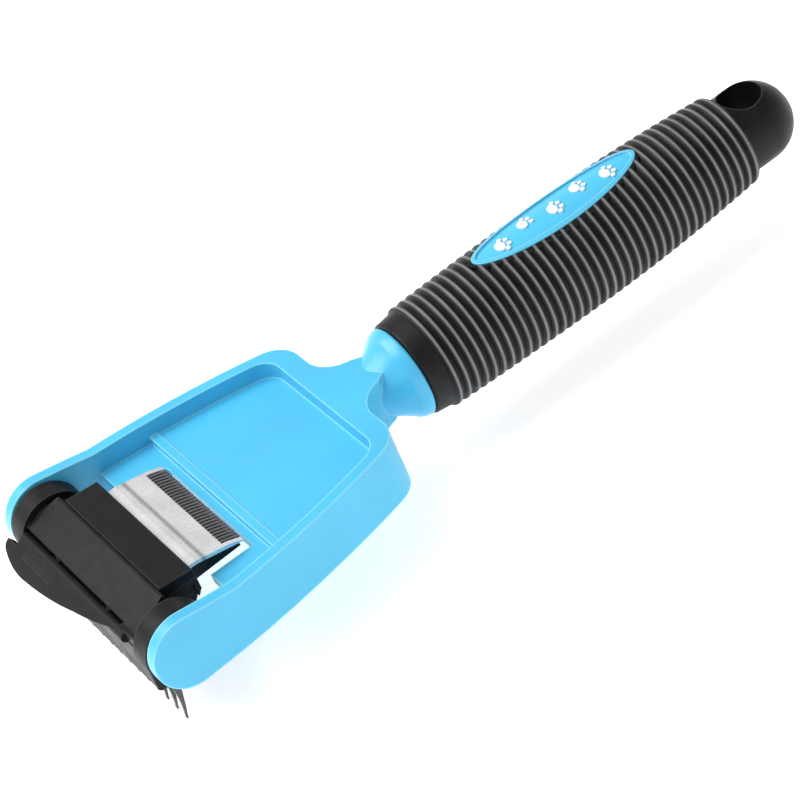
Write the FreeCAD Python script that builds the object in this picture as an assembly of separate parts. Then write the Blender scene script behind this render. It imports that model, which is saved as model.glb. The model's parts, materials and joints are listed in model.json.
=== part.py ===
import FreeCAD, Part

import math
import os

from FreeCAD import Vector

# A two-in-one dematting comb, in millimetres. While it is drawn, the head's pivot is the origin:
# X runs from the head to the hang hole, Y to the left arm, Z up. At the end everything is moved
# so that the origin is at the middle of the bottom of its box.

# ---------------------------------------------------------------- driving dimensions
# frame
HALF_WIDTH = 37.95          # widest half-width, over the arms
BOW_RADIUS = 248.0          # the sides bow inward towards the handle on this radius
BOW_APEX_X = -3.0
WALL = 3.2
ARM_END_RADIUS = 9.8
ARM_END_X = 0.4              # the round arm end is centred a little behind and above the pivot
ARM_END_Z = 0.5
RIM_Z = 7.5
FRAME_BOTTOM_Z = -8.5
FRAME_BACK_X = 71.0
TRAY_BACK_X = 65.2
BACK_CORNER_RADIUS = 9.0
TRAY_CORNER_RADIUS = 6.0
FLOOR_Z = 2.7
FLOOR_LIP = 0.5
STEP_X = 31.2
LEDGE_Z = 1.2
LEDGE_FRONT_X = 16.6
NOTCH_BACK_X = 28.8
NOTCH_HALF_WIDTH = 20.9
FLOOR_THICKNESS = 2.6

# handle
WAIST_HALF_WIDTH = 6.2      # the neck's narrowest half-width
WAIST_X = 78.5
WEB_END_X = 81.5            # past the waist the web narrows until it sinks into the bell
WEB_END_HALF_WIDTH = 4.4
NECK_ROOT_Y = 17.0          # the neck's sides leave the frame's back edge here
COLLAR_X = 88.0
COLLAR_RADIUS = 12.45
TANG_RADIUS = 9.0
TANG_BORE_RADIUS = 6.2
TANG_END_X = 188.0
SLEEVE_END_X = 191.2
RIB_START_X = 92.9
RIB_COUNT = 37
RIB_HEIGHT = 0.8
GRIP_RADIUS = 15.15         # over the rib crests at the grip's fullest point
GRIP_FULLEST_X = 140.0
GRIP_FRONT_DROP = 0.85      # how much slimmer the crests are at the front end of the ribs
GRIP_REAR_DROP = 2.55
CAP_RADIUS = 10.7
CAP_TIP_X = 209.3
HANG_HOLE_X = 197.6
HANG_HOLE_RADIUS = 5.8

# badge
BADGE_X = 140.0
BADGE_HALF_LENGTH = 25.2
BADGE_HALF_WIDTH = 6.9
BADGE_RIM = 1.1
BADGE_BORDER = 1.0          # smooth rubber round the badge, level with the rib crests
BADGE_SEAT_Z = 9.3
PAW_COUNT = 5
PAW_PITCH = 8.2

# head
HUB_RADIUS = 9.7
HUB_INNER_Y = 28.2
HUB_OUTER_Y = 34.0
RIDGE_HALF_WIDTH = 25.9     # the cover narrows from the hubs at its lip to this at its ridge
CLAMP_HALF_WIDTH = 23.5
BARREL_RADIUS = 8.4
COVER_BARREL_RADIUS = 7.5   # just under the cover's facet
PIVOT_RADIUS = 2.0
PIVOT_CLEARANCE = 0.05
HEAD_BOTTOM_Z = -12.8
HEAD_FRONT_X = -8.6
SEAT_Z = 5.6                # the shedding blade lies on the base at this height
BLADE_THICKNESS = 1.0

# shedding blade
SHED_HALF_WIDTH = 19.9
SHED_BEND_X = 15.0
SHED_EDGE_X = 27.7
SHED_SLOPE = 0.2063
SHED_TOOTH_PITCH = 1.3
SHED_TOOTH_GAP = 0.55
SHED_GAP_COUNT = 29
SHED_TOOTH_ROOT_X = 22.9

# hooked blades
COMB_COUNT = 12
COMB_PITCH = 4.7
COMB_THICKNESS = 1.0
COMB_TIP_Z = -26.2
COMB_ROD_X = -4.2
COMB_ROD_Z = -6.4
COMB_ROD_RADIUS = 1.0

# release lever and lock
LEVER_X = -8.4
LEVER_Z = 3.4
LEVER_TILT = 30.0           # the flap hangs this far below level
LEVER_TRAVEL = 8.0
LEVER_BARREL_RADIUS = 1.6
LEVER_BARREL_Y0 = -20.4
LEVER_BARREL_Y1 = 27.7
LEVER_PIN_RADIUS = 0.7
LEVER_EAR_Y = 12.75
LEVER_EAR_WIDTH = 1.5
LEVER_EAR_RADIUS = 1.1
LEVER_POCKET_RADIUS = 1.3   # round each ear and round the spring, inside the barrel
SPRING_POCKET_HALF = 2.0
LEVER_DOT_ROWS = 4          # the raised dots of the thumb patch
LEVER_DOTS_PER_ROW = 12
LEVER_DOT_PITCH = 0.95
LEVER_DOT_Y = 15.5
BOLT_X = 6.1                # also the radius of the track in the arm
BOLT_RADIUS = 1.95
BOLT_NOSE_Y = 35.4
TRACK_FLOOR_Y = 35.7
FINGER_Y = 18.0
FINGER_Z = 0.2
FINGER_RADIUS = 0.75
SLOT_CLEARANCE = 0.2

FAR = 300.0                 # longer than anything here
HALF_ROOT = math.sqrt(0.5)


# ---------------------------------------------------------------- shape helpers
def on_xz(x, z):
    return Vector(x, 0, z)


def on_xy(x, y):
    return Vector(x, y, 0)


def outline(start, steps, place):
    """A flat face. Each step is an end point, or an arc's mid point and its end point."""
    edges = []
    here = place(*start)
    for step in steps:
        end = place(*step[-1])
        if len(step) == 2:
            edges.append(Part.Arc(here, place(*step[0]), end).toShape())
        else:
            edges.append(Part.LineSegment(here, end).toShape())
        here = end
    return Part.Face(Part.Wire(edges))


def box(low, high):
    return Part.makeBox(high[0] - low[0], high[1] - low[1], high[2] - low[2], Vector(*low))


def rod_x(y, z, radius, x0, x1):
    return Part.makeCylinder(radius, x1 - x0, Vector(x0, y, z), Vector(1, 0, 0))


def rod_y(x, z, radius, y0, y1):
    return Part.makeCylinder(radius, y1 - y0, Vector(x, y0, z), Vector(0, 1, 0))


def rod_z(x, y, radius, z0, z1):
    return Part.makeCylinder(radius, z1 - z0, Vector(x, y, z0), Vector(0, 0, 1))


def slab_y(face, y0, y1):
    """Extrude an XZ face from y0 to y1."""
    return face.translated(Vector(0, y0, 0)).extrude(Vector(0, y1 - y0, 0))


def slab_z(face, z0, z1):
    """Extrude an XY face from z0 to z1."""
    return face.translated(Vector(0, 0, z0)).extrude(Vector(0, 0, z1 - z0))


def turned(face):
    """Revolve an XZ half profile about the handle's axis."""
    return face.revolve(Vector(0, 0, 0), Vector(1, 0, 0), 360)


def mirrored(shape):
    return shape.mirror(Vector(0, 0, 0), Vector(0, 1, 0))


def fuse(shapes):
    return shapes[0].multiFuse(shapes[1:]).removeSplitter()


def cut(shape, tools):
    return shape.cut(tools)


def oval(half_length, half_width):
    ellipse = Part.Ellipse(Vector(BADGE_X, 0, 0), half_length, half_width).toShape()
    return Part.Face(Part.Wire([ellipse]))


# ---------------------------------------------------------------- frame
def side_y(x, inset):
    """Half-width of the bowed side at x, measured inset inside the outer face."""
    radius = BOW_RADIUS - inset
    return HALF_WIDTH - BOW_RADIUS + math.sqrt(radius ** 2 - (x - BOW_APEX_X) ** 2)


def plan(front_x, back_x, inset, z0, z1, corner_radius):
    """The frame's plan shape as a solid, with its two back corners rounded."""
    middle_x = (front_x + back_x) / 2
    right = [(x, -side_y(x, inset)) for x in (front_x, middle_x, back_x)]
    left = [(x, -y) for x, y in reversed(right)]
    steps = [(right[1], right[2]), (left[0],), (left[1], left[2]), (right[0],)]
    solid = slab_z(outline(right[0], steps, on_xy), z0, z1)
    if corner_radius == 0:
        return solid
    corners = []
    for edge in solid.Edges:
        if len(edge.Vertexes) == 2:
            a, b = edge.Vertexes[0].Point, edge.Vertexes[1].Point
            upright = abs(a.x - b.x) + abs(a.y - b.y) < 0.001
            if upright and abs(a.x - back_x) < 0.001:
                corners.append(edge)
    return solid.makeFillet(corner_radius, corners)


def side_profile():
    """The frame seen from the side: a round arm end that runs back into a level tray."""
    def on_end(degrees):
        angle = math.radians(degrees)
        return (ARM_END_X + ARM_END_RADIUS * math.cos(angle),
                ARM_END_Z + ARM_END_RADIUS * math.sin(angle))
    top = on_end(82)
    steps = [
        ((17.1, RIM_Z),),
        ((FRAME_BACK_X + 1, RIM_Z),),
        ((FRAME_BACK_X + 1, FRAME_BOTTOM_Z),),
        ((40.0, FRAME_BOTTOM_Z),),
        (on_end(-86),),
        (on_end(180), top),
    ]
    face = outline(top, steps, on_xz)
    return slab_y(face, -HALF_WIDTH - 1, HALF_WIDTH + 1)


def tray():
    """The tray and arms: outer plan, less the tray pocket, the opening, the notch and the underside."""
    front_x = ARM_END_X - ARM_END_RADIUS - 2
    body = plan(front_x, FRAME_BACK_X, 0, -14, 14, BACK_CORNER_RADIUS).common(side_profile())
    pocket = plan(front_x - 2, TRAY_BACK_X, WALL, FLOOR_Z, 20, TRAY_CORNER_RADIUS)
    ledge = plan(front_x - 2, STEP_X, WALL, LEDGE_Z, FLOOR_Z + 1, 0)
    opening = plan(front_x - 2, LEDGE_FRONT_X, WALL, -20, FLOOR_Z, 0)
    notch = box((0, -NOTCH_HALF_WIDTH, -20), (NOTCH_BACK_X, NOTCH_HALF_WIDTH, 20))
    under_ledge = plan(LEDGE_FRONT_X - 1, STEP_X + 2, WALL, -20, LEDGE_Z - FLOOR_THICKNESS, 0)
    under_floor = plan(STEP_X + 1, TRAY_BACK_X, WALL, -20, FLOOR_Z - FLOOR_THICKNESS,
                       TRAY_CORNER_RADIUS)
    body = cut(body, [pocket, ledge, opening, notch, under_ledge, under_floor])
    lip_width = 2.4
    lip = plan(STEP_X, STEP_X + lip_width, WALL - 0.1, FLOOR_Z - 0.1, FLOOR_Z + FLOOR_LIP, 0)
    rib_width = 1.6
    ribs = [box((STEP_X, y - rib_width / 2, -5.2), (TRAY_BACK_X + 1, y + rib_width / 2, 0.2))
            for y in (-12, 0, 12)]
    return fuse([body, lip] + ribs)


def neck_and_tang():
    """A flat-topped neck, the bell collar, and the hollow tang that runs through the grip."""
    root_x = FRAME_BACK_X
    # each side is a quarter-turn that leaves the back edge squarely and ends level with the waist
    run_x = WAIST_X - root_x
    run_y = NECK_ROOT_Y - WAIST_HALF_WIDTH
    side_x = root_x + run_x * (1 - HALF_ROOT)
    side_half = NECK_ROOT_Y - run_y * HALF_ROOT
    web = outline((root_x - 1, -NECK_ROOT_Y), [
        ((root_x, -NECK_ROOT_Y),),
        ((side_x, -side_half), (WAIST_X, -WAIST_HALF_WIDTH)),
        ((WEB_END_X, -WEB_END_HALF_WIDTH),),
        ((WEB_END_X, WEB_END_HALF_WIDTH),),
        ((WAIST_X, WAIST_HALF_WIDTH),),
        ((side_x, side_half), (root_x, NECK_ROOT_Y)),
        ((root_x - 1, NECK_ROOT_Y),),
        ((root_x - 1, -NECK_ROOT_Y),),
    ], on_xy)
    web = slab_z(web, -6.0, RIM_Z)
    rim_round = 0.5
    bell = outline((70, 0), [
        ((70, 5.4),),
        ((76, 6.6),),
        ((78.6, 7.5), (80.8, 8.7)),
        ((82.9, 10.1), (84.6, 11.5)),
        ((86.0, 12.2), (COLLAR_X - 0.9, COLLAR_RADIUS)),
        ((COLLAR_X - 0.3, COLLAR_RADIUS - 0.1), (COLLAR_X, COLLAR_RADIUS - rim_round)),
        ((COLLAR_X, TANG_RADIUS),),
        ((TANG_END_X, TANG_RADIUS),),
        ((TANG_END_X, TANG_BORE_RADIUS),),
        ((COLLAR_X + 5, TANG_BORE_RADIUS),),
        ((COLLAR_X + 5, 0),),
        ((70, 0),),
    ], on_xz)
    pegs = [rod_z(x, 0, 1.55, 5.0, 12.0) for x in badge_peg_places()]
    return cut(fuse([web, turned(bell)]), pegs)


def badge_peg_places():
    return (BADGE_X - 14, BADGE_X + 14)


def bolt_track():
    """A quarter-circle groove round the pivot in the left arm's inner face."""
    half_width = BOLT_RADIUS + 0.15
    depth = TRACK_FLOOR_Y - 30
    overrun = 1.5
    ring = Part.makeCylinder(BOLT_X + half_width, depth, Vector(0, 30, 0), Vector(0, 1, 0),
                             90 + 2 * overrun)
    core = rod_y(0, 0, BOLT_X - half_width, 29, 40)
    # the wedge starts on an arbitrary side, so it is turned until it spans from +X down to -Z
    middle = ring.CenterOfMass
    turn = math.degrees(math.atan2(-middle.z, middle.x)) - 45
    ring.rotate(Vector(0, 0, 0), Vector(0, 1, 0), -turn)
    ends = []
    for angle in (-overrun, 90 + overrun):
        a = math.radians(angle)
        ends.append(rod_y(BOLT_X * math.cos(a), -BOLT_X * math.sin(a), half_width, 30, TRACK_FLOOR_Y))
    return [ring.cut(core)] + ends


def make_frame():
    solid = fuse([tray(), neck_and_tang()])
    sockets = [rod_y(0, 0, PIVOT_RADIUS, 30, 36.8), rod_y(0, 0, PIVOT_RADIUS, -36.8, -30)]
    return cut(solid, sockets + bolt_track())


# ---------------------------------------------------------------- grip
def crest_radius(x):
    """Radius over the rib crests: a slow swell to the middle and a faster taper to the rear."""
    if x < GRIP_FULLEST_X:
        share = (GRIP_FULLEST_X - x) / (GRIP_FULLEST_X - RIB_START_X)
        return GRIP_RADIUS - GRIP_FRONT_DROP * share ** 2
    share = (x - GRIP_FULLEST_X) / (SLEEVE_END_X - GRIP_FULLEST_X)
    return GRIP_RADIUS - GRIP_REAR_DROP * share ** 2


def make_grip_sleeve():
    """A rubber tube with a smooth front band, a row of round ribs and an oval window on top."""
    gap = 0.05
    bore = TANG_RADIUS + gap
    front_x = COLLAR_X + gap
    steps = [
        ((front_x, 12.2),),
        ((front_x + 0.2, 12.75), (front_x + 0.8, 13.0)),
        ((RIB_START_X - 0.3, 13.45),),
        ((RIB_START_X, crest_radius(RIB_START_X) - RIB_HEIGHT),),
    ]
    pitch = (SLEEVE_END_X - RIB_START_X) / RIB_COUNT
    groove = 0.4
    for i in range(RIB_COUNT):
        x0 = RIB_START_X + i * pitch
        x1 = x0 + pitch
        middle = x0 + pitch / 2
        steps.append(((x0 + groove / 2, crest_radius(x0) - RIB_HEIGHT),))
        steps.append(((middle, crest_radius(middle)),
                      (x1 - groove / 2, crest_radius(x1) - RIB_HEIGHT)))
    steps.append(((SLEEVE_END_X, crest_radius(SLEEVE_END_X) - RIB_HEIGHT),))
    steps.append(((SLEEVE_END_X, bore),))
    steps.append(((front_x, bore),))
    sleeve = turned(outline((front_x, bore), steps, on_xz))
    border = slab_z(oval(BADGE_HALF_LENGTH + BADGE_BORDER, BADGE_HALF_WIDTH + BADGE_BORDER),
                    BADGE_SEAT_Z, 30).common(badge_skin(0))
    window = slab_z(oval(BADGE_HALF_LENGTH + gap, BADGE_HALF_WIDTH + gap), 0, 30)
    return cut(sleeve.fuse(border), [window])


def badge_skin(rise):
    """A solid barrel whose surface stands rise above the rib crests, over the badge's length."""
    x0, x1 = BADGE_X - 30, BADGE_X + 30
    face = outline((x0, 0), [
        ((x0, crest_radius(x0) + rise),),
        ((BADGE_X, crest_radius(BADGE_X) + rise), (x1, crest_radius(x1) + rise)),
        ((x1, 0),),
        ((x0, 0),),
    ], on_xz)
    return turned(face)


BADGE_FIELD_RISE = -0.15
BADGE_RIM_RISE = 0.4


def make_badge_plate():
    """An oval plate with a raised rim, held by two pegs in the tang."""
    plate = slab_z(oval(BADGE_HALF_LENGTH, BADGE_HALF_WIDTH), BADGE_SEAT_Z, 30)
    plate = plate.common(badge_skin(BADGE_RIM_RISE))
    field = slab_z(oval(BADGE_HALF_LENGTH - BADGE_RIM, BADGE_HALF_WIDTH - BADGE_RIM), 0, 30)
    plate = cut(plate, [field.cut(badge_skin(BADGE_FIELD_RISE))])
    pegs = [rod_z(x, 0, 1.5, 6.6, BADGE_SEAT_Z + 0.5) for x in badge_peg_places()]
    return fuse([plate] + pegs)


def paw_columns(x, y):
    """Upright columns whose tops make one paw print at x, y: a pad and four toes."""
    pad = Part.Ellipse(Vector(x - 0.9, y, 0), 1.75, 1.3)
    pad.rotate(FreeCAD.Placement(Vector(x - 0.9, y, 0), FreeCAD.Rotation(Vector(0, 0, 1), 90),
                                 Vector(0, 0, 0)))
    columns = [slab_z(Part.Face(Part.Wire([pad.toShape()])), 8, 30)]
    toe_radius = 0.62
    toe_ring = 2.2
    for angle in (-66, -23, 23, 66):
        a = math.radians(angle)
        columns.append(rod_z(x - 0.7 + toe_ring * math.cos(a), y + toe_ring * math.sin(a),
                             toe_radius, 8, 30))
    return columns


def make_badge_paws():
    """A trail of raised paw prints on the badge's field."""
    top = badge_skin(BADGE_FIELD_RISE + 0.4)
    field = badge_skin(BADGE_FIELD_RISE)
    pieces = []
    for i in range(PAW_COUNT):
        x = BADGE_X + (i - (PAW_COUNT - 1) / 2) * PAW_PITCH
        y = 0.9 if i % 2 else -0.9
        for column in paw_columns(x, y):
            pieces += column.common(top).cut(field).Solids
    return Part.makeCompound(pieces)


def make_end_cap():
    """A round-ended cap with a spigot in the tang and a hang hole straight down through it."""
    shoulder_x = TANG_END_X + 0.1
    face_x = SLEEVE_END_X + 0.1
    face = outline((176, 0), [
        ((176, TANG_BORE_RADIUS - 0.1),),
        ((shoulder_x, TANG_BORE_RADIUS - 0.1),),
        ((shoulder_x, TANG_RADIUS - 0.1),),
        ((face_x, TANG_RADIUS - 0.1),),
        ((face_x, CAP_RADIUS - 0.4),),
        ((face_x + 0.1, CAP_RADIUS - 0.1), (face_x + 0.4, CAP_RADIUS)),
        ((CAP_TIP_X - CAP_RADIUS, CAP_RADIUS),),
        ((CAP_TIP_X - CAP_RADIUS * (1 - HALF_ROOT), CAP_RADIUS * HALF_ROOT), (CAP_TIP_X, 0)),
        ((176, 0),),
    ], on_xz)
    return cut(turned(face), [rod_z(HANG_HOLE_X, 0, HANG_HOLE_RADIUS, -20, 20)])


# ---------------------------------------------------------------- head
def shed_under_z(x):
    """Height of the shedding blade's underside."""
    return SEAT_Z - SHED_SLOPE * max(0.0, x - SHED_BEND_X)


def comb_places():
    return [(i - (COMB_COUNT - 1) / 2) * COMB_PITCH for i in range(COMB_COUNT)]


HUB_SCREWS = ((-5.2, -31.1), (-5.2, 31.1))
COVER_SCREWS = ((1.0, -7.0), (1.0, 7.0))
CLAMP_SCREWS = ((10.4, -16.0), (10.4, 0.0), (10.4, 16.0))
HUB_SCREW_SEAT_Z = -6.2
COVER_SCREW_SEAT_Z = -10.6
CLAMP_SCREW_SEAT_Z = 1.2
SCREW_HEAD_RADIUS = 1.6
SCREW_SHANK_RADIUS = 0.9
SCREW_HEAD_HEIGHT = 1.2


def pivot_bores():
    radius = PIVOT_RADIUS + PIVOT_CLEARANCE
    return [rod_y(0, 0, radius, 26.9, 40), rod_y(0, 0, radius, -40, -26.9)]


def bolt_bore():
    return rod_y(BOLT_X, 0, BOLT_RADIUS + PIVOT_CLEARANCE, 22.0, 40)


def screw_holes(places, seat_z, top_z):
    """A clearance hole up to the joint face, and a counterbore for the head below its seat."""
    holes = []
    for x, y in places:
        holes.append(rod_z(x, y, SCREW_SHANK_RADIUS + 0.15, seat_z - 1, top_z))
        holes.append(rod_z(x, y, SCREW_HEAD_RADIUS + 0.2, -20, seat_z))
    return holes


def hub(y0, y1, upper):
    """Half of the round hub on both sides of the head."""
    low, high = (0, 20) if upper else (-20, 0)
    half = box((-20, -FAR, low), (20, FAR, high))
    disc = rod_y(0, 0, HUB_RADIUS, y0, y1).common(half)
    return [disc, mirrored(disc)]


def barrel(upper):
    """Half of the round shoulder between each hub and the end of the blade clamp."""
    low, high = (0, 20) if upper else (-20, 0)
    radius = COVER_BARREL_RADIUS if upper else BARREL_RADIUS
    half = box((-20, -FAR, low), (20, FAR, high))
    piece = rod_y(0, 0, radius, CLAMP_HALF_WIDTH + 0.2, HUB_INNER_Y + 1).common(half)
    return [piece, mirrored(piece)]


def make_head_base():
    """The lower half: slotted for the hooked blades, with a tongue under the shedding blade."""
    front = outline((HEAD_FRONT_X, 0), [
        ((HEAD_FRONT_X, -11.4),),
        ((-8.2, -12.4), (-7.2, HEAD_BOTTOM_Z)),
        ((0.6, HEAD_BOTTOM_Z),),
        ((1.8, -12.4), (2.6, -11.4)),
        ((3.2, -10.7),),
        ((3.2, 0),),
        ((HEAD_FRONT_X, 0),),
    ], on_xz)
    tongue_end_x = SHED_EDGE_X - 1.2
    rear = outline((3.0, -10.9), [
        ((12.0, 0.9),),
        ((12.5, 1.6), (13.4, 1.9)),
        ((tongue_end_x, shed_under_z(tongue_end_x) - 0.8),),
        ((tongue_end_x, shed_under_z(tongue_end_x)),),
        ((SHED_BEND_X, SEAT_Z),),
        ((3.0, SEAT_Z),),
        ((3.0, -10.9),),
    ], on_xz)
    body = slab_y(front, -HUB_INNER_Y, HUB_INNER_Y)
    rear_block = slab_y(rear, -CLAMP_HALF_WIDTH, CLAMP_HALF_WIDTH)
    side_trim_x = 12.7
    trims = [box((side_trim_x, SHED_HALF_WIDTH, -20), (40, 30, 20)),
             box((side_trim_x, -30, -20), (40, -SHED_HALF_WIDTH, 20))]
    rear_block = cut(rear_block, trims)
    cover_gap = box((2.0, -FAR, 0), (3.3, FAR, 20))
    rear_block = rear_block.cut(cover_gap)
    solid = fuse([body, rear_block] + hub(HUB_INNER_Y - 0.1, HUB_OUTER_Y, False) + barrel(False))
    tools = pivot_bores() + [bolt_bore()]
    slot = COMB_THICKNESS / 2 + 0.05
    mouth_radius = 1.3
    for y in comb_places():
        tools.append(box((-7.3, y - slot, -20), (-1.3, y + slot, -3.0)))
        tools.append(rod_x(y, HEAD_BOTTOM_Z - 0.3, mouth_radius, -20, -0.5))
    tools.append(rod_y(COMB_ROD_X, COMB_ROD_Z, COMB_ROD_RADIUS + 0.02, -40, 27.6))
    tools.append(box((-6.6, -26.2, -2.0), (-0.8, 26.2, 1)))
    tools.append(box((-0.8, 14.0, -2.0), (3.3, 24.0, 1)))
    tools.append(box((3.0, 5.2, -3.3), (8.3, 22.2, SEAT_Z + 1)))
    end_recess = ((6.0, 22.6, -1.0), (11.4, 30, 4.6))
    tools.append(mirrored(box(*end_recess)))
    tools += screw_holes(HUB_SCREWS, HUB_SCREW_SEAT_Z, 1)
    tools += screw_holes(COVER_SCREWS, COVER_SCREW_SEAT_Z, 1)
    tools += screw_holes(CLAMP_SCREWS, CLAMP_SCREW_SEAT_Z, 10)
    for x, y in CLAMP_SCREWS:
        tools.append(rod_z(x, y, 1.75, 2.5, 10))
    return cut(solid, tools)


def make_head_cover():
    """The upper half: a flat facet down to a rolled front lip, and the upper half of each hub."""
    shell = outline((HEAD_FRONT_X, 0), [
        ((HEAD_FRONT_X, 1.0),),
        ((-8.3, 1.4), (-7.8, 1.5)),
        ((-6.4, 1.5),),
        ((-6.4, 4.9),),
        ((-6.9, 5.3), (-6.5, 5.8)),
        ((2.2, 9.1),),
        ((2.7, 9.2), (3.2, 9.0)),
        ((3.2, 0),),
        ((HEAD_FRONT_X, 0),),
    ], on_xz)
    cavity = outline((-5.0, -1), [((-5.0, 4.6),), ((1.4, 7.0),), ((1.4, -1),), ((-5.0, -1),)], on_xz)
    body = slab_y(shell, -HUB_INNER_Y, HUB_INNER_Y)
    taper = slab_z(outline((-6.4, HUB_INNER_Y), [((4, RIDGE_HALF_WIDTH),), ((4, HUB_INNER_Y + 1),),
                                                 ((-6.4, HUB_INNER_Y + 1),),
                                                 ((-6.4, HUB_INNER_Y),)], on_xy), 0, 12)
    body = cut(body, [slab_y(cavity, -24.9, 24.9), taper, mirrored(taper)])
    end_fill = box((-8.3, -HUB_INNER_Y, 1.0), (-6.0, LEVER_BARREL_Y0 - 0.5, 5.0))
    bosses = [rod_z(x, y, 2.2, 0, 7.5).common(box((-5, -20, 0), (3.2, 20, 7.5)))
              for x, y in COVER_SCREWS]
    ears = []
    for y in (-LEVER_EAR_Y, LEVER_EAR_Y):
        y0, y1 = y - LEVER_EAR_WIDTH / 2, y + LEVER_EAR_WIDTH / 2
        ears.append(rod_y(LEVER_X, LEVER_Z, LEVER_EAR_RADIUS, y0, y1))
        ears.append(box((LEVER_X, y0, LEVER_Z - 0.8), (-6.0, y1, LEVER_Z + 0.8)))
    solid = fuse([body, end_fill] + hub(HUB_INNER_Y - 0.1, HUB_OUTER_Y, True) + barrel(True)
                 + bosses)
    channel = rod_y(LEVER_X, LEVER_Z, LEVER_BARREL_RADIUS + 0.25, LEVER_BARREL_Y0 - 0.2,
                    LEVER_BARREL_Y1 + 0.2)
    # a closed knuckle holds the hinge pin's far end
    knuckle = rod_y(LEVER_X, LEVER_Z, LEVER_BARREL_RADIUS, -23.8, LEVER_BARREL_Y0 - 0.2)
    solid = fuse([solid.cut(channel), knuckle] + ears)
    tools = pivot_bores() + [bolt_bore()]
    tools.append(rod_y(LEVER_X, LEVER_Z, LEVER_PIN_RADIUS, -23.4, 27.8))
    finger_half = 1.4
    tools.append(box((-12, FINGER_Y - finger_half, -1), (4, FINGER_Y + finger_half, 4.8)))
    for x, y in HUB_SCREWS:
        tools.append(rod_z(x, y, SCREW_SHANK_RADIUS, -1, 3.9))
    for x, y in COVER_SCREWS:
        tools.append(rod_z(x, y, SCREW_SHANK_RADIUS, -1, 4.6))
    return cut(solid, tools)


def make_blade_clamp():
    """The bar that holds the shedding blade on its seat, with three screw bosses below it."""
    top_of_blade = SEAT_Z + BLADE_THICKNESS
    bar = outline((3.4, top_of_blade), [
        ((3.4, 8.9),),
        ((3.5, 9.1), (3.8, 9.1)),
        ((11.9, 8.4),),
        ((12.5, 8.2), (12.7, 7.6)),
        ((12.7, top_of_blade),),
        ((3.4, top_of_blade),),
    ], on_xz)
    solids = [slab_y(bar, -CLAMP_HALF_WIDTH, CLAMP_HALF_WIDTH)]
    leg = box((3.4, SHED_HALF_WIDTH + 0.1, SEAT_Z), (12.7, CLAMP_HALF_WIDTH, top_of_blade + 0.1))
    solids += [leg, mirrored(leg)]
    solids += [rod_z(x, y, 1.7, 2.6, top_of_blade + 0.1) for x, y in CLAMP_SCREWS]
    pilots = [rod_z(x, y, SCREW_SHANK_RADIUS, 0, 6.6) for x, y in CLAMP_SCREWS]
    return cut(fuse(solids), pilots)


def make_shedding_blade():
    """A bent steel strip. Its far edge is bevelled and cut into fine teeth."""
    edge_z = shed_under_z(SHED_EDGE_X)
    bevel_x = 24.2
    strip = outline((5.0, SEAT_Z), [
        ((SHED_BEND_X, SEAT_Z),),
        ((SHED_EDGE_X, edge_z),),
        ((SHED_EDGE_X + 0.05, edge_z + 0.4),),
        ((bevel_x, shed_under_z(bevel_x) + BLADE_THICKNESS),),
        ((SHED_BEND_X + 0.1, SEAT_Z + BLADE_THICKNESS),),
        ((5.0, SEAT_Z + BLADE_THICKNESS),),
        ((5.0, SEAT_Z),),
    ], on_xz)
    solid = slab_y(strip, -SHED_HALF_WIDTH, SHED_HALF_WIDTH)
    tools = [rod_z(x, y, 1.75, 0, 20) for x, y in CLAMP_SCREWS]
    half_gap = SHED_TOOTH_GAP / 2
    for i in range(SHED_GAP_COUNT):
        y = (i - (SHED_GAP_COUNT - 1) / 2) * SHED_TOOTH_PITCH
        tools.append(box((SHED_TOOTH_ROOT_X, y - half_gap, -5), (40, y + half_gap, 20)))
    return cut(solid, tools)


def make_comb_blade(y):
    """One hooked blade: a wide tang round the rod and a slim tooth that narrows to its tip."""
    profile = outline((-7.2, -3.2), [
        ((-7.2, -11.6),),
        ((-5.3, -14.6),),
        ((-4.95, -20.5), (-5.5, COMB_TIP_Z + 0.3)),
        ((-5.35, COMB_TIP_Z), (-5.1, COMB_TIP_Z + 0.2)),
        ((-3.8, -20.0), (-2.9, -14.6)),
        ((-1.4, -11.6),),
        ((-1.4, -3.2),),
        ((-7.2, -3.2),),
    ], on_xz)
    half = COMB_THICKNESS / 2
    solid = slab_y(profile, y - half, y + half)
    return cut(solid, [rod_y(COMB_ROD_X, COMB_ROD_Z, COMB_ROD_RADIUS + 0.02, y - 2, y + 2)])


def make_blade_rod():
    return rod_y(COMB_ROD_X, COMB_ROD_Z, COMB_ROD_RADIUS, -27.4, 27.4)


def make_screws(places, seat_z, tip_z):
    """Pan-head screws pointing up, with a cross recess in each head."""
    solids = []
    for x, y in places:
        head = rod_z(x, y, SCREW_HEAD_RADIUS, seat_z - SCREW_HEAD_HEIGHT, seat_z)
        shank = rod_z(x, y, SCREW_SHANK_RADIUS, seat_z - 0.1, tip_z)
        low = seat_z - SCREW_HEAD_HEIGHT - 0.1
        slots = [box((x - 1.0, y - 0.2, low), (x + 1.0, y + 0.2, low + 0.7)),
                 box((x - 0.2, y - 1.0, low), (x + 0.2, y + 1.0, low + 0.7))]
        solids.append(cut(fuse([head, shank]), slots))
    return Part.makeCompound(solids)


def make_pivot_pin(side):
    pin = rod_y(0, 0, PIVOT_RADIUS, 27.1, 36.7)
    return pin if side == "left" else mirrored(pin)


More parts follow.
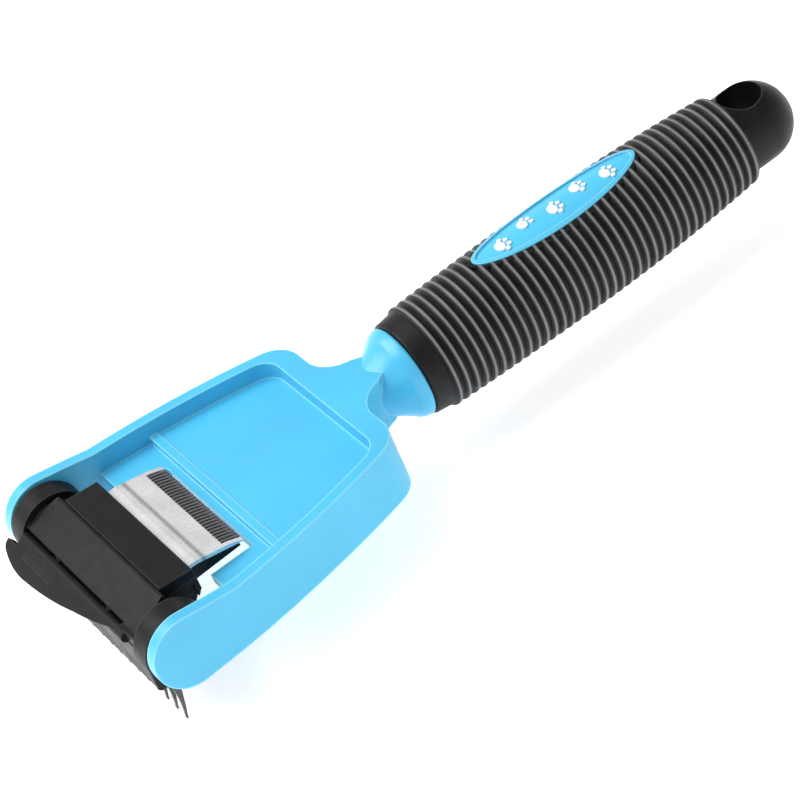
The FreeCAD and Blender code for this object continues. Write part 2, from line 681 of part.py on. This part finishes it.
# ---------------------------------------------------------------- release lever and lock
def lever_pockets():
    """Hollows in the lever's barrel for the two ears and the spring, open at the back."""
    ear_half = LEVER_EAR_WIDTH / 2 + 0.2
    spans = [(-LEVER_EAR_Y, ear_half), (LEVER_EAR_Y, ear_half), (0, SPRING_POCKET_HALF)]
    pockets = []
    for y, half in spans:
        pockets.append(rod_y(LEVER_X, LEVER_Z, LEVER_POCKET_RADIUS, y - half, y + half))
        pockets.append(box((LEVER_X, y - half, LEVER_Z - LEVER_POCKET_RADIUS),
                           (LEVER_X + 3, y + half, LEVER_Z + LEVER_POCKET_RADIUS)))
    return pockets


def tilt_about_lever(shape, angle):
    shape.rotate(Vector(LEVER_X, 0, LEVER_Z), Vector(0, 1, 0), angle)
    return shape


def lever_flap():
    """The teardrop flap, drawn level and pointing forward, then tilted down about the hinge."""
    def at(y, reach):
        return Vector(LEVER_X - reach, y, LEVER_Z - 3)

    def across(reach, height):
        return Vector(LEVER_X - reach, 0, LEVER_Z + height)
    hub_clear = 2.6
    plan_face = outline((LEVER_BARREL_Y1, 0), [
        ((LEVER_BARREL_Y1, hub_clear),),
        ((31.9, hub_clear),),
        ((31.9, 4.2), (30.6, 5.5)),
        ((25.2, 7.5), (18.3, 7.8)),
        ((6.9, 6.6), (-3.7, 4.5)),
        ((-12.4, 2.6), (-20.0, 0.4)),
        ((LEVER_BARREL_Y0, 0),),
        ((LEVER_BARREL_Y1, 0),),
    ], at)
    top = LEVER_BARREL_RADIUS
    wedge = outline((0, top - 0.1), [
        ((3.8, 1.25), (8.2, 0.45)),
        ((8.2, -0.5),),
        ((2.0, -0.9),),
        ((0, -1.2),),
        ((0, top - 0.1),),
    ], across)
    flap = plan_face.extrude(Vector(0, 0, 6)).common(slab_y(wedge, -40, 40))
    dot_radius = 0.34
    dots = []
    for row in range(LEVER_DOT_ROWS):
        reach = 0.9 + row * LEVER_DOT_PITCH
        for i in range(LEVER_DOTS_PER_ROW):
            y = LEVER_DOT_Y + (i - (LEVER_DOTS_PER_ROW - 1) / 2 + row % 2 / 2) * LEVER_DOT_PITCH * 1.25
            height = top - 0.12 - 0.022 * reach ** 2
            dots.append(Part.makeSphere(dot_radius, across(reach, height) + Vector(0, y, 0)))
    return tilt_about_lever(fuse([flap] + dots), -LEVER_TILT)


def lever_finger():
    """An arm from the barrel back through the head to the bolt, with a round tip."""
    half = 0.8
    arm = outline((LEVER_X, LEVER_Z + half), [
        ((-2.0, 2.4),),
        ((4.4, 1.2),),
        ((4.4, -0.3),),
        ((-3.0, 0.9),),
        ((LEVER_X, LEVER_Z - half),),
        ((LEVER_X, LEVER_Z + half),),
    ], on_xz)
    arm = slab_y(arm, FINGER_Y - half, FINGER_Y + half)
    tip = rod_x(FINGER_Y, FINGER_Z, FINGER_RADIUS, 4.0, 7.7)
    tip.rotate(Vector(BOLT_X, FINGER_Y, FINGER_Z), Vector(0, 1, 0), LEVER_TRAVEL / 2)
    return [arm, tip]


def make_release_lever():
    """The flap, its hinge barrel and the finger that works the bolt, in one moulding."""
    barrel_rod = rod_y(LEVER_X, LEVER_Z, LEVER_BARREL_RADIUS, LEVER_BARREL_Y0, LEVER_BARREL_Y1)
    solid = cut(fuse([lever_flap(), barrel_rod]), lever_pockets())
    solid = fuse([solid] + lever_finger())
    return cut(solid, [rod_y(LEVER_X, LEVER_Z, LEVER_PIN_RADIUS + 0.05, -40, 40)])


def make_lever_pin():
    return rod_y(LEVER_X, LEVER_Z, LEVER_PIN_RADIUS, -23.2, 27.6)


def coil(radius, wire, pitch, length, centre, direction):
    """A round-wire helix that starts at centre and runs along direction."""
    helix = Part.makeHelix(pitch, length, radius)
    ring = Part.Wire([Part.Circle(Vector(radius, 0, 0), Vector(0, 1, 0), wire).toShape()])
    solid = Part.Wire(helix.Edges).makePipeShell([ring], True, True)
    turn = FreeCAD.Rotation(Vector(0, 0, 1), direction)
    solid.Placement = FreeCAD.Placement(centre, turn)
    return solid


def make_lever_spring():
    """A torsion spring round the lever's pin."""
    return coil(1.0, 0.25, 0.8, 3.2, Vector(LEVER_X, -1.6, LEVER_Z), Vector(0, 1, 0))


def make_lock_bolt():
    """A round nose in the left hub and a flat tail, whose slanting slot rides on the finger."""
    nose = rod_y(BOLT_X, 0, BOLT_RADIUS, 21.5, BOLT_NOSE_Y)
    tail = box((BOLT_X - 1.2, 14.4, -2.6), (BOLT_X + 1.2, 22.0, 3.8))
    slot_radius = FINGER_RADIUS + SLOT_CLEARANCE
    travel = 2.1
    ends = [(FINGER_Y - 0.15, FINGER_Z - 0.15), (FINGER_Y + travel, FINGER_Z + travel)]
    holes = [rod_x(y, z, slot_radius, 0, 12) for y, z in ends]
    run = slot_radius / math.sqrt(2)
    (ya, za), (yb, zb) = ends
    corners = [Vector(0, ya - run, za + run), Vector(0, yb - run, zb + run),
               Vector(0, yb + run, zb - run), Vector(0, ya + run, za - run)]
    middle = Part.Face(Part.makePolygon(corners + corners[:1])).extrude(Vector(12, 0, 0))
    return cut(fuse([nose, tail]), holes + [middle])


def make_bolt_spring():
    """The spring behind the bolt, drawn at its shortest so that the bolt has room to slide."""
    return coil(1.5, 0.25, 1.1, 6.0, Vector(BOLT_X, 5.7, 0.4), Vector(0, 1, 0))


# ---------------------------------------------------------------- assembly
def all_nodes():
    nodes = {
        "frame": make_frame(),
        "grip_sleeve": make_grip_sleeve(),
        "badge_plate": make_badge_plate(),
        "badge_paws": make_badge_paws(),
        "end_cap": make_end_cap(),
        "pivot_pin_left": make_pivot_pin("left"),
        "pivot_pin_right": make_pivot_pin("right"),
        "head_base": make_head_base(),
        "head_cover": make_head_cover(),
        "blade_clamp": make_blade_clamp(),
        "shedding_blade": make_shedding_blade(),
        "blade_rod": make_blade_rod(),
        "hub_screws": make_screws(HUB_SCREWS, HUB_SCREW_SEAT_Z, 3.8),
        "cover_screws": make_screws(COVER_SCREWS, COVER_SCREW_SEAT_Z, 4.5),
        "clamp_screws": make_screws(CLAMP_SCREWS, CLAMP_SCREW_SEAT_Z, 6.5),
        "release_lever": make_release_lever(),
        "lever_pin": make_lever_pin(),
        "lever_spring": make_lever_spring(),
        "lock_bolt": make_lock_bolt(),
        "bolt_spring": make_bolt_spring(),
    }
    for i, y in enumerate(comb_places()):
        nodes["comb_blade_%02d" % (i + 1)] = make_comb_blade(y)
    return nodes


def main():
    os.makedirs("parts", exist_ok=True)
    nodes = all_nodes()
    whole = Part.makeCompound(list(nodes.values())).optimalBoundingBox(False, False)
    shift = Vector(-(whole.XMin + whole.XMax) / 2, 0, -whole.ZMin)
    print("pivot at %.4f %.4f %.4f" % (shift.x, shift.y, shift.z))
    print("size %.2f x %.2f x %.2f" % (whole.XLength, whole.YLength, whole.ZLength))
    for name, shape in nodes.items():
        placed = shape.translated(shift)
        print("%-16s solids %2d valid %s volume %8.1f"
              % (name, len(placed.Solids), placed.isValid(), placed.Volume))
        placed.exportStep("parts/%s.step" % name)


main()
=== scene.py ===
import json

import bpy
from mathutils import Matrix, Vector

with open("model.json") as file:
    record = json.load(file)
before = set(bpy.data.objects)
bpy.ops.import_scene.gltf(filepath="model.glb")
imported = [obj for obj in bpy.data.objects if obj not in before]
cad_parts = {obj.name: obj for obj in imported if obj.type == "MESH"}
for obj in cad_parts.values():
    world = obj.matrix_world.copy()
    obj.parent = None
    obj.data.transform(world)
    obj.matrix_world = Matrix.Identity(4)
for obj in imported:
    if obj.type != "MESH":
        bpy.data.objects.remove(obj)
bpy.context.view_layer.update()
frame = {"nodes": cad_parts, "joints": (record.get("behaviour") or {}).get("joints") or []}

# ---------------------------------------------------------------- what everything is placed from
# The head's pivot is the measuring point. X runs towards the hang hole, Y towards the arm that
# holds the lock track, and Z up.
MM = 0.001
JOINTS = {joint["name"]: joint for joint in frame["joints"]}
PIVOT = Vector(JOINTS["head_turn"]["pos_m"])

CAMERA_FROM_PIVOT = Vector((-127.0, -623.1, 519.1)) * MM
CAMERA_FORWARD = Vector((0.2502, 0.7399, -0.6244))
CAMERA_UP = Vector((0.5644, 0.4125, 0.7150))
CAMERA_LENS = 155.2           # the lens and the sensor's width are in millimetres
CAMERA_SENSOR = 36.0
CAMERA_NEAR = 0.01

RIB_START_X = PIVOT.x + 92.9 * MM
RIBBED_LENGTH = 98.3 * MM
RIB_COUNT = 37
RIB_PITCH = RIBBED_LENGTH / RIB_COUNT

# ---------------------------------------------------------------- colours
SKY_BLUE = (0.075, 0.51, 0.80, 1)
# painted highlight along the frame's edges
FRAME_EDGE_HIGHLIGHT_BLUE = (0.32, 0.80, 0.97, 1)
BADGE_BLUE = (0.09, 0.58, 0.88, 1)
# painted highlight along the badge's edges
BADGE_EDGE_HIGHLIGHT_BLUE = (0.35, 0.78, 0.96, 1)
RUBBER_BLACK = (0.004, 0.004, 0.0045, 1)
RUBBER_DUST = (0.01, 0.01, 0.01125, 1)
# painted highlight laid along the grip's rib crests
RUBBER_CREST_HIGHLIGHT = (0.22, 0.22, 0.22, 1)
PLASTIC_BLACK = (0.0065, 0.0065, 0.007, 1)
# painted highlight along the black plastic's edges
PLASTIC_EDGE_HIGHLIGHT = (0.075, 0.075, 0.077, 1)
CAP_BLACK = (0.006, 0.006, 0.0065, 1)
STEEL = (0.86, 0.86, 0.86, 1)
# painted highlight along the steel's edges
STEEL_EDGE_HIGHLIGHT = (0.93, 0.93, 0.93, 1)
BEND_GREY_STEEL = (0.387, 0.387, 0.387, 1)
DARK_STEEL = (0.16, 0.15, 0.15, 1)
# painted shade on the hooked blades
TOOTH_SHADE_STEEL = (0.08, 0.075, 0.075, 1)
PAW_WHITE = (0.86, 0.92, 0.95, 1)
# painted highlight along the paws' edges
PAW_EDGE_HIGHLIGHT = (0.95, 0.97, 1, 1)
PAPER_WHITE = (0.93, 0.93, 0.93, 1)
LIGHT_WHITE = (1, 1, 1, 1)

# ---------------------------------------------------------------- surface textures
# How fine each noise is: about this many cells to a metre.
PAPER_CELLS = 3.0
DRIFT_CELLS = 35.0
DUST_CELLS = 90.0
STAIN_CELLS = 120.0
CREST_HIGHLIGHT_CELLS = 150.0
SCUFF_CELLS = 240.0
RUBBER_SHEEN_CELLS = 400.0
BLUE_GRAIN_CELLS = 900.0
WHITE_GRAIN_CELLS = 1200.0
CAP_GRAIN_CELLS = 1500.0
BLACK_GRAIN_CELLS = 1800.0
PEBBLE_CELLS = 2600.0
SCRATCH_CELLS = 3200.0

STEEL_METALLIC = 0.6          # ground steel scatters part of the light like a matt surface
SCRATCH_STRETCH = 0.03        # this turns round specks into long scratches
BLACK_GLOSS = 0.2
RUBBER_GLOSS = 0.25
BEVEL_SAMPLES = 6
BUMP_DISTANCE = 0.1 * MM

# ---------------------------------------------------------------- studio
STAGE_HALF_SIDE = 4.0
BACKDROP_HEIGHT = 2.4
FLOOR_GLOW = 0.65
BACKDROP_GLOW = 0.1
WORLD_STRENGTH = 0.34
LIGHT_SIZE = 0.9
KEY_PLACE = (-0.45, 0.35, 0.95)
KEY_POWER = 14.0
FILL_PLACE = (0.5, -0.9, 0.6)
FILL_POWER = 0.3


# ---------------------------------------------------------------- material building blocks
class Shader:
    """One node material, with short ways to add the nodes that all of them use."""

    def __init__(self, name, color, roughness, metallic=0.0, gloss=0.5):
        self.material = bpy.data.materials.new(name)
        self.material.use_nodes = True
        self.tree = self.material.node_tree
        self.surface = self.tree.nodes["Principled BSDF"]
        self.surface.inputs["Base Color"].default_value = color
        self.surface.inputs["Roughness"].default_value = roughness
        self.surface.inputs["Metallic"].default_value = metallic
        self.surface.inputs["Specular IOR Level"].default_value = gloss

    def add(self, kind, **settings):
        node = self.tree.nodes.new(kind)
        for key, value in settings.items():
            setattr(node, key, value)
        return node

    def link(self, source, target):
        self.tree.links.new(source, target)

    def set(self, socket, source):
        """Link a node's output to one of the surface's own sockets."""
        self.link(source, self.surface.inputs[socket])

    def place(self, stretch=(1, 1, 1)):
        """Object coordinates in metres, scaled on each axis."""
        coordinates = self.add("ShaderNodeTexCoord")
        mapping = self.add("ShaderNodeMapping")
        mapping.inputs["Scale"].default_value = stretch
        self.link(coordinates.outputs["Object"], mapping.inputs["Vector"])
        return mapping.outputs["Vector"]

    def place_on(self, axis):
        """Object coordinate on one axis, in metres."""
        split = self.add("ShaderNodeSeparateXYZ")
        self.link(self.place(), split.inputs[0])
        return split.outputs[axis]

    def noise(self, cells, detail=3.0, stretch=(1, 1, 1)):
        node = self.add("ShaderNodeTexNoise")
        node.inputs["Scale"].default_value = cells
        node.inputs["Detail"].default_value = detail
        self.link(self.place(stretch), node.inputs["Vector"])
        return node.outputs["Fac"]

    def spread(self, value, low=0.0, high=1.0, from_low=0.3, from_high=0.7):
        """Map from_low to from_high, where most of a noise's values lie, onto low to high."""
        node = self.add("ShaderNodeMapRange")
        node.inputs["From Min"].default_value = from_low
        node.inputs["From Max"].default_value = from_high
        node.inputs["To Min"].default_value = low
        node.inputs["To Max"].default_value = high
        self.link(value, node.inputs["Value"])
        return node.outputs["Result"]

    def math(self, operation, first, second=None):
        """One arithmetic step on values. Each is a number or another node's output."""
        node = self.add("ShaderNodeMath", operation=operation)
        for i, value in enumerate((first, second)):
            if isinstance(value, bpy.types.NodeSocket):
                self.link(value, node.inputs[i])
            elif value is not None:
                node.inputs[i].default_value = value
        return node.outputs[0]

    def distance(self, value, middle):
        """How far a value is from middle, on either side."""
        return self.math("ABSOLUTE", self.math("SUBTRACT", value, middle))

    def mix(self, factor, first, second):
        """Blend two colours. Each is a colour or another node's output."""
        node = self.add("ShaderNodeMix", data_type="RGBA")
        self.link(factor, node.inputs["Factor"])
        for name, value in (("A", first), ("B", second)):
            socket = [s for s in node.inputs if s.name == name and s.type == "RGBA"][0]
            if isinstance(value, bpy.types.NodeSocket):
                self.link(value, socket)
            else:
                socket.default_value = value
        return [s for s in node.outputs if s.type == "RGBA"][0]

    def rounded(self, radius):
        """The surface's direction, as if its sharp edges were rounded."""
        bevel = self.add("ShaderNodeBevel", samples=BEVEL_SAMPLES)
        bevel.inputs["Radius"].default_value = radius
        return bevel.outputs["Normal"]

    def edges(self, radius):
        """1 along sharp edges and 0 on open faces."""
        bevel_normal = self.rounded(radius)
        geometry = self.add("ShaderNodeNewGeometry")
        dot = self.add("ShaderNodeVectorMath", operation="DOT_PRODUCT")
        self.link(bevel_normal, dot.inputs[0])
        self.link(geometry.outputs["Normal"], dot.inputs[1])
        return self.spread(dot.outputs["Value"], low=1.0, high=0.0, from_low=0.80, from_high=0.99)

    def bump(self, height, strength, edge_radius=0.3 * MM):
        node = self.add("ShaderNodeBump")
        node.inputs["Strength"].default_value = strength
        node.inputs["Distance"].default_value = BUMP_DISTANCE
        self.link(height, node.inputs["Height"])
        self.link(self.rounded(edge_radius), node.inputs["Normal"])
        self.set("Normal", node.outputs["Normal"])


def shaded(color, factor):
    return (color[0] * factor, color[1] * factor, color[2] * factor, 1)


def varied(shader, noise, color, darkest, lightest):
    """A colour that drifts between a darker and a lighter shade of itself."""
    return shader.mix(shader.spread(noise), shaded(color, darkest), shaded(color, lightest))


def moulded_plastic(name, color, edge_highlight, roughness, grain_cells, gloss=0.5,
                    edge_radius=0.5 * MM):
    """Moulded plastic: slow colour drift, a fine surface texture and a painted highlight along the
    edges.
    """
    shader = Shader(name, color, roughness, gloss=gloss)
    drift = shader.noise(DRIFT_CELLS, detail=4.0)
    base = varied(shader, drift, color, darkest=0.93, lightest=1.05)
    # painted highlight: the edges are mixed towards a paler colour
    shader.set("Base Color", shader.mix(shader.edges(edge_radius), base, edge_highlight))
    scuffs = shader.noise(SCUFF_CELLS, detail=6.0)
    shader.set("Roughness", shader.spread(scuffs, low=roughness * 0.85, high=roughness * 1.2))
    shader.bump(shader.noise(grain_cells, detail=2.0), strength=0.10)
    return shader


def rib_crests(shader):
    """1 along the middle of each rib of the grip and 0 in the grooves."""
    from_start = shader.math("SUBTRACT", shader.place_on("X"), RIB_START_X)
    phase = shader.math("FRACT", shader.math("DIVIDE", from_start, RIB_PITCH))
    off_crest = shader.distance(phase, 0.5)
    line = shader.spread(off_crest, low=1.0, high=0.0, from_low=0.07, from_high=0.19)
    on_ribs = shader.math("GREATER_THAN", from_start, 0.0)
    return shader.math("MULTIPLY", line, on_ribs)


def grip_rubber():
    """Soft black rubber: matt, with a painted grey highlight along the rib crests and a fine
    pebbled skin.
    """
    shader = Shader("black_rubber", RUBBER_BLACK, roughness=0.5, gloss=RUBBER_GLOSS)
    dust = shader.spread(shader.noise(DUST_CELLS, detail=6.0), from_low=0.45, from_high=0.8)
    dusty = shader.mix(dust, RUBBER_BLACK, RUBBER_DUST)
    patchy = shader.spread(shader.noise(CREST_HIGHLIGHT_CELLS), low=0.7)
    # painted highlight: the rib crests are mixed towards a lighter grey, in patches
    crest_highlight = shader.math("MULTIPLY", rib_crests(shader), patchy)
    shader.set("Base Color", shader.mix(crest_highlight, dusty, RUBBER_CREST_HIGHLIGHT))
    sheen = shader.noise(RUBBER_SHEEN_CELLS, detail=4.0)
    shader.set("Roughness", shader.spread(sheen, low=0.42, high=0.58))
    shader.bump(shader.noise(PEBBLE_CELLS), strength=0.20, edge_radius=0.1 * MM)
    return shader


def band(shader, axis, middle, half, soft):
    """1 within half of middle along one axis, falling to 0 over soft."""
    off = shader.distance(shader.place_on(axis), middle)
    return shader.spread(off, low=1.0, high=0.0, from_low=half - soft / 2,
                         from_high=half + soft / 2)


def with_strip_tone(shader, base, middle, half, soft, reach, tone):
    """The base colour with another tone over a strip across the head, at middle along X."""
    along_x = band(shader, "X", middle, half, soft)
    along_y = band(shader, "Y", PIVOT.y, reach, soft)
    return shader.mix(shader.math("MULTIPLY", along_x, along_y), base, tone)


def brushed_steel(name, along, roughness, strips=()):
    """Ground steel: fine scratches along one axis, faint stains, a painted highlight along the
    edges, and darker strips of tone, some of them painted shade.
    """
    shader = Shader(name, STEEL, roughness, metallic=STEEL_METALLIC)
    stain = shader.noise(STAIN_CELLS, detail=4.0)
    base = varied(shader, stain, STEEL, darkest=0.86, lightest=1.06)
    # painted highlight: the edges are mixed towards a brighter steel
    base = shader.mix(shader.edges(radius=0.3 * MM), base, STEEL_EDGE_HIGHLIGHT)
    for strip in strips:
        base = with_strip_tone(shader, base, **strip)
    shader.set("Base Color", base)
    stretch = tuple(SCRATCH_STRETCH if axis == along else 1.0 for axis in "XYZ")
    scratches = shader.noise(SCRATCH_CELLS, detail=2.0, stretch=stretch)
    shader.set("Roughness", shader.spread(scratches, low=roughness * 0.8, high=roughness * 1.3))
    shader.bump(scratches, strength=0.12, edge_radius=0.15 * MM)
    return shader


def edge_steel():
    """The shedding blade: a darker grey line just past its bend, and a dark ground strip at its
    teeth.
    """
    bend_line = dict(middle=PIVOT.x + 17.2 * MM, half=0.5 * MM, soft=0.8 * MM, reach=30 * MM,
                     tone=BEND_GREY_STEEL)
    ground_strip = dict(middle=PIVOT.x + 25.6 * MM, half=2.7 * MM, soft=0.3 * MM,
                        reach=18.5 * MM, tone=DARK_STEEL)
    return brushed_steel("edge_steel", along="X", roughness=0.32, strips=(bend_line, ground_strip))


def tooth_steel():
    """The hooked blades, with painted shade darkening them over their whole width."""
    # painted shade: the blades' whole width is mixed to a dark steel tone
    tooth_shade = dict(middle=PIVOT.x - 4.2 * MM, half=4.0 * MM, soft=0.5 * MM, reach=30 * MM,
                tone=TOOTH_SHADE_STEEL)
    return brushed_steel("tooth_steel", along="Z", roughness=0.34, strips=(tooth_shade,))


# ---------------------------------------------------------------- materials on the CAD nodes
def give(names, shader):
    for name in names:
        mesh = frame["nodes"][name].data
        mesh.materials.clear()
        mesh.materials.append(shader.material)


def paint_nodes():
    combs = [name for name in frame["nodes"] if name.startswith("comb_blade")]
    head_plastic = ["head_base", "head_cover", "blade_clamp", "release_lever"]
    small_steel = ["pivot_pin_left", "pivot_pin_right", "blade_rod", "hub_screws", "cover_screws",
                   "clamp_screws", "lever_pin", "lever_spring", "bolt_spring", "lock_bolt"]
    give(["frame"],
         moulded_plastic("sky_blue_plastic", SKY_BLUE, FRAME_EDGE_HIGHLIGHT_BLUE, roughness=0.32,
                         grain_cells=BLUE_GRAIN_CELLS, edge_radius=0.9 * MM))
    give(["badge_plate"],
         moulded_plastic("badge_blue_plastic", BADGE_BLUE, BADGE_EDGE_HIGHLIGHT_BLUE, roughness=0.30,
                         grain_cells=BLUE_GRAIN_CELLS))
    give(["badge_paws"],
         moulded_plastic("white_plastic", PAW_WHITE, PAW_EDGE_HIGHLIGHT, roughness=0.4,
                         grain_cells=WHITE_GRAIN_CELLS))
    give(head_plastic,
         moulded_plastic("black_plastic", PLASTIC_BLACK, PLASTIC_EDGE_HIGHLIGHT, roughness=0.45,
                         grain_cells=BLACK_GRAIN_CELLS, gloss=BLACK_GLOSS))
    give(["end_cap"],
         moulded_plastic("cap_plastic", CAP_BLACK, PLASTIC_EDGE_HIGHLIGHT, roughness=0.40,
                         grain_cells=CAP_GRAIN_CELLS, gloss=BLACK_GLOSS))
    give(["grip_sleeve"], grip_rubber())
    give(["shedding_blade"], edge_steel())
    give(combs, tooth_steel())
    give(small_steel, brushed_steel("plain_steel", along="Y", roughness=0.33))


# ---------------------------------------------------------------- studio pieces
def make_sheet(name, corners, faces, glow):
    """A sheet of white paper that belongs to the studio. Glow is light of its own."""
    mesh = bpy.data.meshes.new(name)
    mesh.from_pydata(corners, [], faces)
    sheet = bpy.data.objects.new(name, mesh)
    bpy.context.scene.collection.objects.link(sheet)
    shader = Shader(name + "_paper", PAPER_WHITE, roughness=0.7)
    mottle = shader.noise(PAPER_CELLS, detail=2.0)
    shader.set("Base Color", varied(shader, mottle, PAPER_WHITE, darkest=0.99, lightest=1.02))
    shader.surface.inputs["Emission Color"].default_value = LIGHT_WHITE
    shader.surface.inputs["Emission Strength"].default_value = glow
    mesh.materials.append(shader.material)


def make_stage():
    """A floor with four walls round it. The floor's own light keeps the shadows faint."""
    side = STAGE_HALF_SIDE
    floor = [(-side, -side, 0), (side, -side, 0), (side, side, 0), (-side, side, 0)]
    raised = [(x, y, BACKDROP_HEIGHT) for x, y, _ in floor]
    walls = [(0, 1, 5, 4), (1, 2, 6, 5), (2, 3, 7, 6), (3, 0, 4, 7)]
    make_sheet("floor", floor, [(0, 1, 2, 3)], FLOOR_GLOW)
    make_sheet("backdrop", floor + raised, walls, BACKDROP_GLOW)


def make_light(name, place, power):
    """A square soft light, aimed at the middle of the comb at the pivot's height."""
    data = bpy.data.lights.new(name, "AREA")
    data.size = LIGHT_SIZE
    data.energy = power
    light = bpy.data.objects.new(name, data)
    bpy.context.scene.collection.objects.link(light)
    light.location = place
    towards = Vector((0, 0, PIVOT.z)) - Vector(place)
    light.rotation_euler = towards.to_track_quat("-Z", "Y").to_euler()


def make_lights():
    world = bpy.data.worlds.new("studio")
    world.use_nodes = True
    background = world.node_tree.nodes["Background"]
    background.inputs["Color"].default_value = LIGHT_WHITE
    background.inputs["Strength"].default_value = WORLD_STRENGTH
    bpy.context.scene.world = world
    make_light("key", KEY_PLACE, KEY_POWER)
    make_light("fill", FILL_PLACE, FILL_POWER)


def make_camera():
    data = bpy.data.cameras.new("camera")
    data.lens = CAMERA_LENS
    data.sensor_width = CAMERA_SENSOR
    data.clip_start = CAMERA_NEAR
    camera = bpy.data.objects.new("camera", data)
    bpy.context.scene.collection.objects.link(camera)
    forward = CAMERA_FORWARD.normalized()
    right = forward.cross(CAMERA_UP).normalized()
    up = right.cross(forward)
    place = PIVOT + CAMERA_FROM_PIVOT
    rows = [(right[i], up[i], -forward[i], place[i]) for i in range(3)]
    camera.matrix_world = Matrix(rows + [(0, 0, 0, 1)])
    bpy.context.scene.camera = camera


make_camera()
make_stage()
make_lights()
paint_nodes()
bpy.context.scene.view_settings.view_transform = "Standard"
